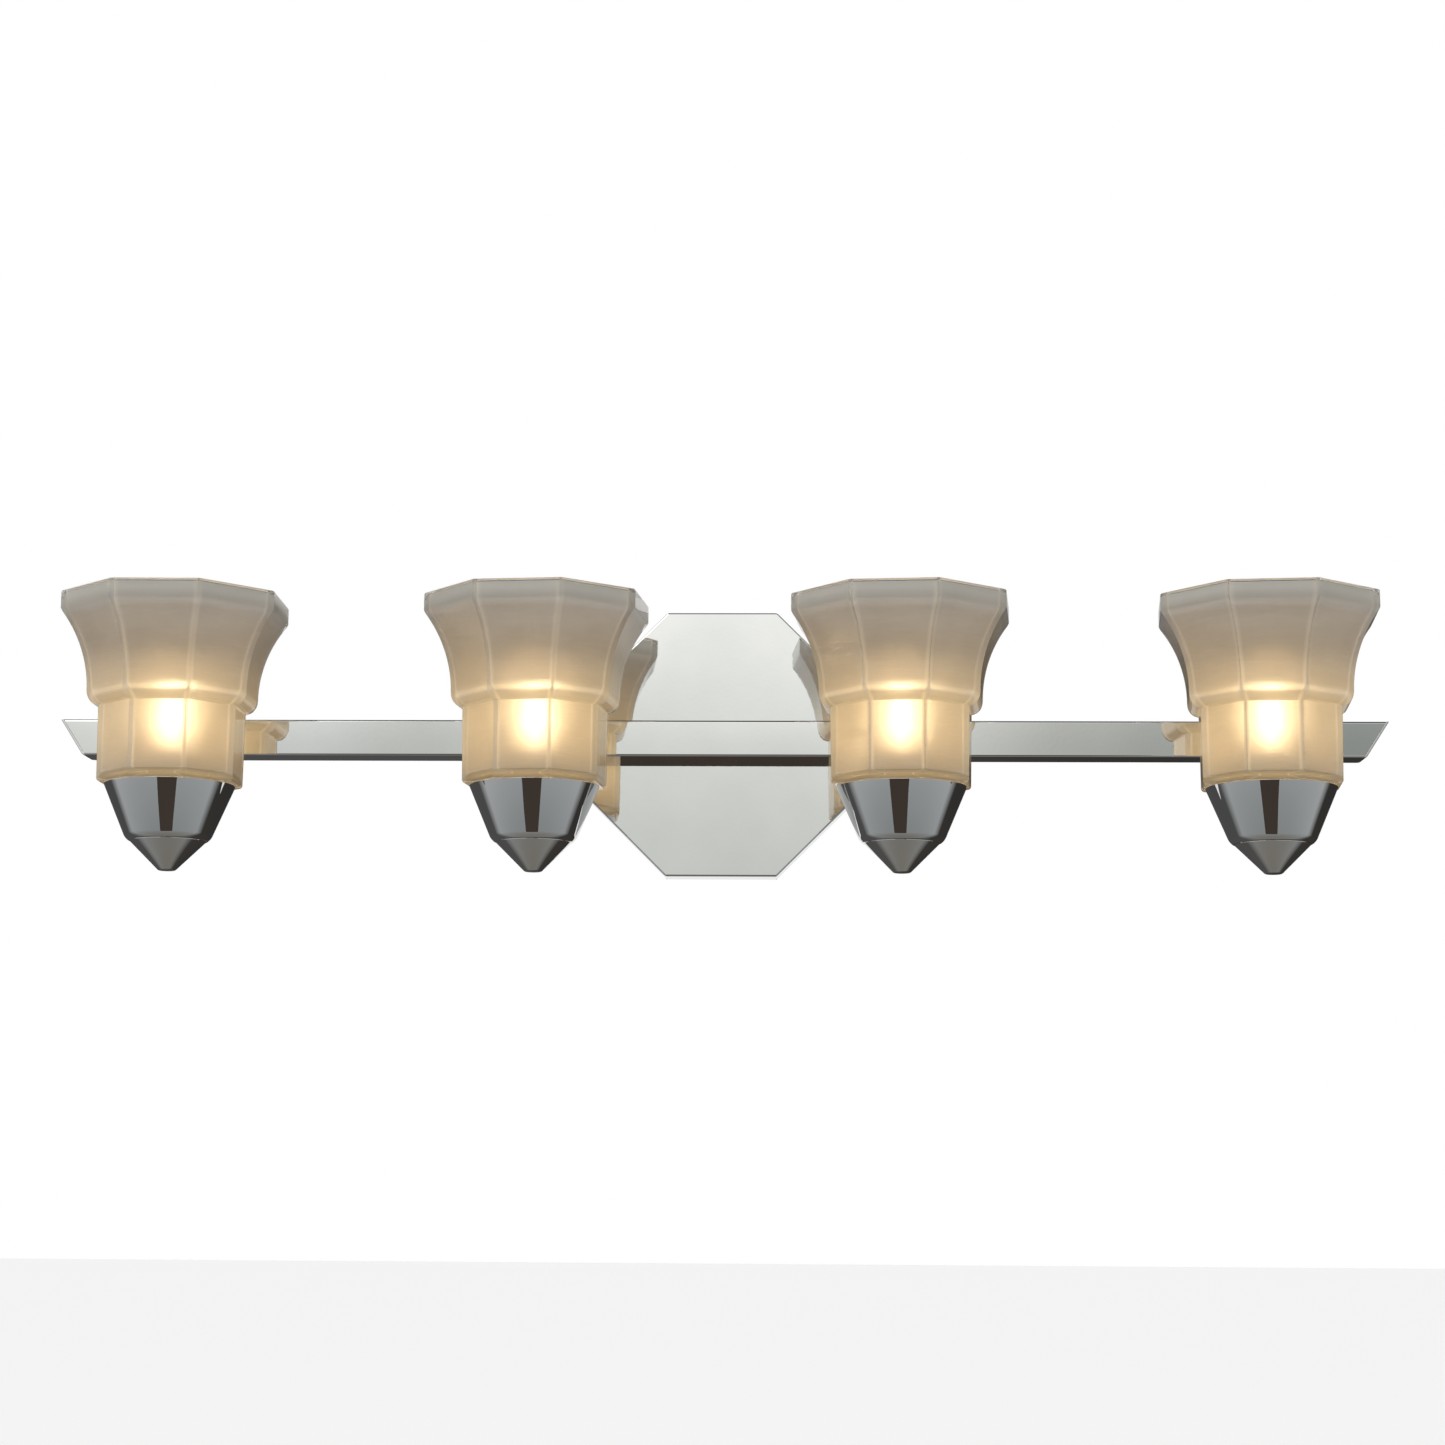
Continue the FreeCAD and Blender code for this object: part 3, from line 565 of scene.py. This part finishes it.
def build_bar():
    low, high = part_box("bar_channel")
    top_half, bottom_half, thickness = bar_ends()
    bm = bmesh.new()
    slanted_block(bm, low, high, top_half - thickness, bottom_half - thickness)
    hollow_from_rear(bm, BAR_WALL, high.y - low.y)
    long_front = [e for e in bm.edges if all(abs(v.co.y - low.y) < MM / 2 for v in e.verts)
                  and e.calc_length() > bottom_half]
    bevel_edges(bm, long_front, BAR_CORNER, 5)
    bmesh.ops.recalc_face_normals(bm, faces=bm.faces[:])
    line = (low + high) / 2
    mark_inside([f for f in bm.faces
                 if abs(f.normal.x) < FINE and f.normal.dot(line - f.calc_center_median()) > 0])
    finish_piece(bm, "bar_shell", "fixture", [CHROME, SATIN], ["bar_channel"],
                 weighted=True)


def build_end_cap(side, word):
    """The bar's end, cut from the same slanted block; side is -1 for the left one and 1 for the right."""
    low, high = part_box("bar_channel")
    top_half, bottom_half, thickness = bar_ends()
    bm = bmesh.new()
    slanted_block(bm, low, high, top_half, bottom_half)
    for vert in bm.verts:
        if vert.co.x * side < 0:
            vert.co.x = side * ((top_half if vert.co.z > 0 else bottom_half) - thickness)
    bmesh.ops.recalc_face_normals(bm, faces=bm.faces[:])
    tip = bottom_half - MM / 2
    outer_low = [e for e in bm.edges if all(v.co.z < 0 and abs(v.co.x) > tip for v in e.verts)]
    bmesh.ops.bevel(bm, geom=outer_low, offset=CAP_CORNER, offset_type="OFFSET", segments=4,
                    profile=0.5, affect="EDGES", material=-1)
    sharp = [e for e in bm.edges if e.calc_face_angle(0) > CAP_SHARP]
    bmesh.ops.bevel(bm, geom=sharp, offset=CAP_EDGE, offset_type="OFFSET", segments=3,
                    profile=0.5, affect="EDGES", material=-1)
    finish_piece(bm, f"end_cap_{word}", "fixture", [CHROME],
                 [f"bar_end_cap_{word}"], weighted=True)


# ---- arms, cups and finials ----
ARM_BEND = 14 * MM
ARM_SEGMENTS = 40


def build_arm(number):
    """Tube that drops from the bar, bends, and runs forward into the back of the cup."""
    low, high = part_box(f"arm_{number}")
    radius = (high.x - low.x) / 2
    level = low.z + radius
    rear = high.y - radius
    centre = (low.x + high.x) / 2
    bm = bmesh.new()
    bmesh.ops.create_circle(bm, segments=ARM_SEGMENTS, radius=radius)
    bmesh.ops.translate(bm, vec=Vector((centre, rear, high.z)), verts=bm.verts[:])

    def push(vec, verts):
        made = bmesh.ops.extrude_edge_only(bm, edges=edges_within(bm, verts))
        bmesh.ops.translate(bm, vec=vec, verts=verts_in(made))
        return verts_in(made)

    ring = push(Z * (level + ARM_BEND - high.z), set(bm.verts))
    bent = bmesh.ops.spin(bm, geom=ring + edges_within(bm, ring),
                          cent=(centre, rear - ARM_BEND, level + ARM_BEND), axis=X, angle=-pi / 2,
                          steps=16, use_duplicate=False)
    push(Y * (low.y - rear + ARM_BEND), set(verts_in(bent, "geom_last")))
    bmesh.ops.remove_doubles(bm, verts=bm.verts[:], dist=MERGE)
    bmesh.ops.holes_fill(bm, edges=bm.edges[:], sides=0)
    bmesh.ops.recalc_face_normals(bm, faces=bm.faces[:])
    finish_piece(bm, f"arm_tube_{number}", "fixture", [CHROME], [f"arm_{number}"])


CUP_SHOULDER = -70.4 * MM
CUP_SHOULDER_R = 26.3 * MM
CUP_BOTTOM_R = 23.9 * MM
CUP_WALL = 1.2 * MM
CUP_FLOOR = 1.6 * MM
CUP_HOLE_R = 4.9 * MM


def build_cup(number):
    """Thin-walled cone that holds the socket, open above, with the nipple's hole in its floor."""
    low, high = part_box(f"cup_{number}")
    top_r = (high.x - low.x) / 2
    points = [(CUP_HOLE_R, low.z), (CUP_BOTTOM_R, low.z), (CUP_SHOULDER_R, CUP_SHOULDER), (top_r, high.z),
              (top_r - CUP_WALL, high.z), (CUP_SHOULDER_R - CUP_WALL, CUP_SHOULDER),
              (CUP_BOTTOM_R - CUP_WALL, low.z + CUP_FLOOR), (CUP_HOLE_R, low.z + CUP_FLOOR),
              (CUP_HOLE_R, low.z)]
    rounds = {1: 0.8 * MM, 2: 1.2 * MM, 3: 0.45 * MM, 4: 0.4 * MM}
    lathe(f"cup_shell_{number}", points, rounds, AXES[number], "fixture", CHROME,
          [f"cup_{number}"])


FINIAL_BAND = 0.3 * MM
FINIAL_TIP_R = 5.1 * MM


def build_finial(number):
    """Blunt cone with a narrow band, screwed up against the cup's floor."""
    low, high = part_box(f"finial_{number}")
    top_r = (high.x - low.x) / 2
    points = [(0, low.z), (FINIAL_TIP_R, low.z), (top_r, high.z - FINIAL_BAND), (top_r, high.z),
              (0, high.z)]
    rounds = {1: 0.9 * MM, 2: 0.12 * MM, 3: 0.1 * MM}
    lathe(f"finial_cone_{number}", points, rounds, AXES[number], "fixture", CHROME,
          [f"finial_{number}"])


# ---- pressed-glass shades ----
CORNER_STEPS = 4
STEP_STEPS = 7
BELL_STEPS = 18
WELD = 0.05 * MM


def quarter(bm, vert, to_x, to_z):
    """A rounded step from vert, outwards along X and then up to (to_x, to_z)."""
    start = vert.co.copy()
    for k in range(1, STEP_STEPS + 1):
        turn = pi / 2 * k / STEP_STEPS
        x = start.x + (to_x - start.x) * sin(turn)
        z = to_z - (to_z - start.z) * cos(turn)
        vert = line_to(bm, vert, x, z)
    return vert


def bell_turn(radius, apothem):
    """How far round its hollow arc the bell has swung when it reaches an apothem."""
    return pi / 2 - asin((BELL_CENTRE_X - apothem) / radius)


def outer_skin(bm, low_z, rim_z):
    """Outline of the outside, from the foot's hole up over the rim to its inner corner."""
    vert = bm.verts.new((GLASS_HOLE_R, 0, low_z))
    vert = line_to(bm, vert, FOOT_R - FOOT_ROUND, low_z)
    vert = arc_to(bm, vert, (FOOT_R - FOOT_ROUND, low_z + FOOT_ROUND), -pi / 2, CORNER_STEPS)
    vert = line_to(bm, vert, COLLAR_TOP_R, COLLAR_TOP)
    vert = quarter(bm, vert, BELL_R, STEP_TOP)
    vert = arc_to(bm, vert, (BELL_CENTRE_X, STEP_TOP), bell_turn(BELL_BEND, BAND_R - MM), BELL_STEPS)
    vert = line_to(bm, vert, BAND_R, BAND_BOTTOM)
    vert = line_to(bm, vert, BAND_R, rim_z - RIM_ROUND)
    vert = arc_to(bm, vert, (BAND_R - RIM_ROUND, rim_z - RIM_ROUND), -pi / 2, CORNER_STEPS)
    inner_r = BAND_R - BAND_WALL
    vert = line_to(bm, vert, inner_r + RIM_ROUND, rim_z)
    arc_to(bm, vert, (inner_r + RIM_ROUND, rim_z - RIM_ROUND), -pi / 2, CORNER_STEPS)


def inner_skin(bm, low_z, rim_z):
    """Outline of the inside, from the foot's hole up to the rim's inner corner."""
    collar = FOOT_R - COLLAR_WALL
    radius = BELL_BEND + BELL_WALL
    band = BAND_R - BAND_WALL
    bell_start = BELL_CENTRE_X - sqrt(radius ** 2 - (INNER_STEP_TOP - STEP_TOP) ** 2)
    floor = low_z + GLASS_FLOOR
    vert = bm.verts.new((GLASS_HOLE_R, 0, low_z))
    vert = line_to(bm, vert, GLASS_HOLE_R, floor)
    vert = line_to(bm, vert, collar - FOOT_ROUND, floor)
    vert = arc_to(bm, vert, (collar - FOOT_ROUND, floor + FOOT_ROUND), -pi / 2, CORNER_STEPS)
    vert = line_to(bm, vert, collar, INNER_STEP_BOTTOM)
    vert = quarter(bm, vert, bell_start, INNER_STEP_TOP)
    swing = bell_turn(radius, band - MM) - bell_turn(radius, bell_start)
    vert = arc_to(bm, vert, (BELL_CENTRE_X, STEP_TOP), swing, BELL_STEPS)
    vert = line_to(bm, vert, band, BAND_BOTTOM + MM)
    line_to(bm, vert, band, rim_z - RIM_ROUND)


def facet_skin(draw, low_z, rim_z, corner, material_index):
    """Eight facets from one outline, with their upright edges rounded."""
    bm = bmesh.new()
    draw(bm, low_z, rim_z)
    bmesh.ops.scale(bm, vec=(1 / cos(HALF_SIDE), 1, 1), verts=bm.verts[:])
    turn_round(bm, SIDES)
    bevel_edges(bm, [e for e in bm.edges if len(e.link_faces) == 2 and is_mitre(e)], corner, CORNER_STEPS)
    for face in bm.faces:
        face.material_index = material_index
    mesh = bpy.data.meshes.new("skin")
    bm.to_mesh(mesh)
    bm.free()
    return mesh


def is_mitre(edge):
    """True for an edge that lies in an upright plane through the axis."""
    a, b = (Vector((v.co.x, v.co.y)) for v in edge.verts)
    return abs(a.cross(b)) < 1e-9


def build_shade(number):
    """One shade: a clear outer skin and a frosted inner one, joined at the rim and the foot's hole."""
    low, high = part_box(f"shade_glass_{number}")
    bm = bmesh.new()
    bm.from_mesh(facet_skin(outer_skin, low.z, high.z, OUTER_CORNER, 0))
    bm.from_mesh(facet_skin(inner_skin, low.z, high.z, INNER_CORNER, 1))
    bmesh.ops.remove_doubles(bm, verts=bm.verts[:], dist=WELD)
    bmesh.ops.recalc_face_normals(bm, faces=bm.faces[:])
    turn = Matrix.Rotation(HALF_SIDE - pi / 2 + radians(SHADE_TURNS[number]), 3, "Z")
    bmesh.ops.rotate(bm, verts=bm.verts[:], cent=(0, 0, 0), matrix=turn)
    bmesh.ops.translate(bm, vec=Vector((AXES[number].x, AXES[number].y, 0)), verts=bm.verts[:])
    finish_piece(bm, f"shade_{number}", f"shade_{number}",
                 [CLEAR, FROSTED[number]], [f"shade_glass_{number}"], weighted=True)


# ---- bulbs ----
NECK_R = 13.6 * MM
NECK = -20 * MM
CAPSULE_R = 6.5 * MM
CAPSULE_TOP = GLOW_HEIGHT + 10 * MM
CAPSULE_LOW = GLOW_HEIGHT - 9 * MM
STEM_R = 1.6 * MM
STEM_LENGTH = 12 * MM


def build_bulb(number):
    """Bulb glass, a ball that flares into its neck, and the glowing capsule on its stem."""
    low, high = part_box(f"bulb_glass_{number}")
    round_r = (high.x - low.x) / 2
    middle = high.z - round_r
    drop = middle - NECK
    flare_r = (NECK_R ** 2 + drop ** 2 - round_r ** 2) / (2 * (round_r - NECK_R))
    swing = atan2(drop, NECK_R + flare_r)
    bm = bmesh.new()
    vert = bm.verts.new((0, 0, low.z))
    vert = line_to(bm, vert, NECK_R, low.z)
    vert = line_to(bm, vert, NECK_R, NECK)
    vert = arc_to(bm, vert, (NECK_R + flare_r, NECK), swing, 10)
    arc_to(bm, vert, (0, middle), -(pi / 2 + swing), 30)
    turn_round(bm, 64)
    bmesh.ops.recalc_face_normals(bm, faces=bm.faces[:])
    bmesh.ops.translate(bm, vec=Vector((AXES[number].x, AXES[number].y, 0)), verts=bm.verts[:])
    finish_piece(bm, f"bulb_envelope_{number}", f"bulb_{number}", [ENVELOPE],
                 [f"bulb_glass_{number}"])
    stem = CAPSULE_LOW - STEM_LENGTH
    points = [(0, stem), (STEM_R, stem), (STEM_R, CAPSULE_LOW - 2 * MM), (CAPSULE_R, CAPSULE_LOW),
              (CAPSULE_R, CAPSULE_TOP - 2 * MM), (0, CAPSULE_TOP)]
    lathe(f"bulb_capsule_{number}", points, {3: 2 * MM, 4: 3 * MM}, AXES[number], f"bulb_{number}",
          CAPSULE, steps=32)


# ---- carried-over CAD nodes ----
NODE_MATERIALS = {
    "mounting_strap": ZINC, "bar_back_plate": ZINC, "bar_bolts": ZINC, "bar_washers": ZINC,
    "bar_nuts": ZINC, "arm_nuts": ZINC, "nipples": ZINC, "nipple_nuts": ZINC, "canopy_screws": CHROME,
    "socket_contacts": BRASS, "terminal_block": BLOCK, "bushing": BLACK, "ground_screw": GREEN,
    "hot_leads": BLACK, "neutral_leads": WHITE,
}
for n in LAMPS:
    NODE_MATERIALS[f"socket_body_{n}"] = PORCELAIN
    NODE_MATERIALS[f"screw_shell_{n}"] = CAP_METAL
    NODE_MATERIALS[f"socket_ring_{n}"] = RING
    NODE_MATERIALS[f"bulb_cap_{n}"] = CAP_METAL
for name, mat in NODE_MATERIALS.items():
    for place in frame["nodes"][name].material_slots:
        place.material = mat

build_canopy()
build_bar()
build_end_cap(-1, "left")
build_end_cap(1, "right")
for n in LAMPS:
    build_arm(n)
    build_cup(n)
    build_finial(n)
    build_shade(n)
    build_bulb(n)


# ---- stage, light and camera ----
FLOOR_HALF = 40
FLOOR_HEIGHT = -1.3
EYE = Vector((0.0536, -1.8477, -0.2816))
YAW = radians(-1.665)
PITCH = radians(9.169)
ROLL = radians(0.37)
LENS = 72.3
SENSOR = 36


def build_floor():
    bm = bmesh.new()
    bmesh.ops.create_grid(bm, x_segments=1, y_segments=1, size=FLOOR_HALF)
    bmesh.ops.translate(bm, vec=Z * FLOOR_HEIGHT, verts=bm.verts[:])
    floor = link_mesh(bm, "floor")
    mat = new_material("floor_paint")
    principled(mat, {"Base Color": (0.9, 0.9, 0.9, 1), "Roughness": 0.9})
    floor.data.materials.append(mat)
    floor.visible_glossy = False


def build_card(name, low, high, colour):
    """Studio card that only reflections see."""
    bm = bmesh.new()
    block(bm, Vector(low), Vector(high))
    card = link_mesh(bm, name)
    mat = new_material(name + "_cloth")
    principled(mat, {"Base Color": (0, 0, 0, 1), "Roughness": 1.0, "Specular IOR Level": 0.0,
                     "Emission Color": (*colour, 1), "Emission Strength": 1.0})
    card.data.materials.append(mat)
    card.visible_camera = False
    card.visible_diffuse = False
    card.visible_shadow = False
    card.visible_transmission = False


def build_world():
    """Soft room of light, white where the camera looks and graded where the chrome looks."""
    world = bpy.data.worlds.new("studio")
    bpy.context.scene.world = world
    world.use_nodes = True
    world.node_tree.nodes.clear()
    coords = add(world, "TexCoord")
    parts = add(world, "SeparateXYZ")
    wire(world, coords.outputs["Generated"], parts.inputs["Vector"])
    height = parts.outputs["Z"]
    rise = span(world, height, -1, 1, 0, 1)
    front = ramp(world, rise, (0.0, (0.20, 0.188, 0.168)), (0.2, (0.28, 0.298, 0.305)),
                 (0.45, (0.46, 0.47, 0.48)), (0.545, (0.65, 0.665, 0.635)), (0.575, (0.82, 0.835, 0.805)),
                 (0.60, (1.12, 1.13, 1.10)), (1.0, (1.05, 1.05, 1.05)))
    back = ramp(world, rise, (0.0, (0.35, 0.33, 0.31)), (0.40, (0.6, 0.58, 0.56)),
                (0.5, (1.0, 1.0, 1.0)), (1.0, (1.05, 1.05, 1.05)))
    drift = ramp(world, span(world, parts.outputs["X"], -0.3, 0.3, 0, 1), (0.08, (1.0, 1.0, 1.0)),
                 (0.225, (0.86, 0.87, 0.88)), (0.283, (0.74, 0.74, 0.73)), (0.37, (0.98, 0.98, 0.98)),
                 (0.53, (1.0, 1.0, 1.0)), (0.65, (0.61, 0.61, 0.60)), (0.8, (0.38, 0.40, 0.40)),
                 (1.0, (0.5, 0.52, 0.52)))
    drift_here = math(world, "MULTIPLY", span(world, height, 0.02, 0.08, 0, 1),
                      span(world, height, 0.3, 0.5, 1, 0))
    front = blend_colours(world, drift_here, front, drift, "MULTIPLY")
    side = span(world, parts.outputs["Y"], 0.12, 0.40, 0, 1)
    mirrored = ramp(world, rise, (0.0, (0.05, 0.045, 0.04)), (0.585, (0.032, 0.03, 0.028)),
                    (0.61, (1.0, 1.0, 1.0)))
    left = span(world, parts.outputs["X"], -0.1, 0.1, 1, 0)
    mirrored = blend_colours(world, math(world, "MULTIPLY", left, 0.07), mirrored, (0.6, 0.62, 0.66))
    seen = add(world, "LightPath")
    back = blend_colours(world, seen.outputs["Is Glossy Ray"], back, mirrored)
    studio = blend_colours(world, side, front, back)
    overhead = math(world, "MULTIPLY", span(world, height, 0.55, 0.68, 0, 1), seen.outputs["Is Glossy Ray"])
    studio = blend_colours(world, overhead, studio, (0.05, 0.05, 0.05))
    shown = blend_colours(world, seen.outputs["Is Camera Ray"], studio, (1.0, 1.0, 1.0))
    sky = add(world, "Background", {"Strength": 1.0})
    wire(world, shown, sky.inputs["Color"])
    output = add(world, "OutputWorld")
    wire(world, sky.outputs["Background"], output.inputs["Surface"])


def build_camera():
    """Eye level a little below the bar, looking slightly up."""
    ahead = Vector((sin(YAW) * cos(PITCH), cos(YAW) * cos(PITCH), sin(PITCH)))
    level = Vector((cos(YAW), -sin(YAW), 0))
    upright = level.cross(ahead)
    right = level * cos(ROLL) + upright * sin(ROLL)
    up = upright * cos(ROLL) - level * sin(ROLL)
    data = bpy.data.cameras.new("camera")
    data.lens = LENS
    data.sensor_width = SENSOR
    camera = bpy.data.objects.new("camera", data)
    bpy.context.scene.collection.objects.link(camera)
    turn = Matrix((right, up, -ahead)).transposed().to_4x4()
    camera.matrix_world = Matrix.Translation(EYE) @ turn
    bpy.context.scene.camera = camera


def build_light(name, place, target, size, power):
    data = bpy.data.lights.new(name, "AREA")
    data.size = size
    data.energy = power
    lamp = bpy.data.objects.new(name, data)
    bpy.context.scene.collection.objects.link(lamp)
    lamp.location = place
    lamp.rotation_euler = (Vector(target) - Vector(place)).to_track_quat("-Z", "Y").to_euler()


build_floor()
build_card("dark_card", (-0.70, -1.95, -2.2), (0.50, -1.90, -0.25), (0.055, 0.043, 0.036))
build_card("rear_card", (-0.10, 0.03, -0.105), (0.10, 0.032, 0.105), (0.9, 0.9, 0.9))
build_world()
build_camera()
build_light("soft_key", (-1.2, -1.6, 1.5), (0, 0, 0), 1.2, 12)
bpy.context.scene.view_settings.view_transform = "Standard"
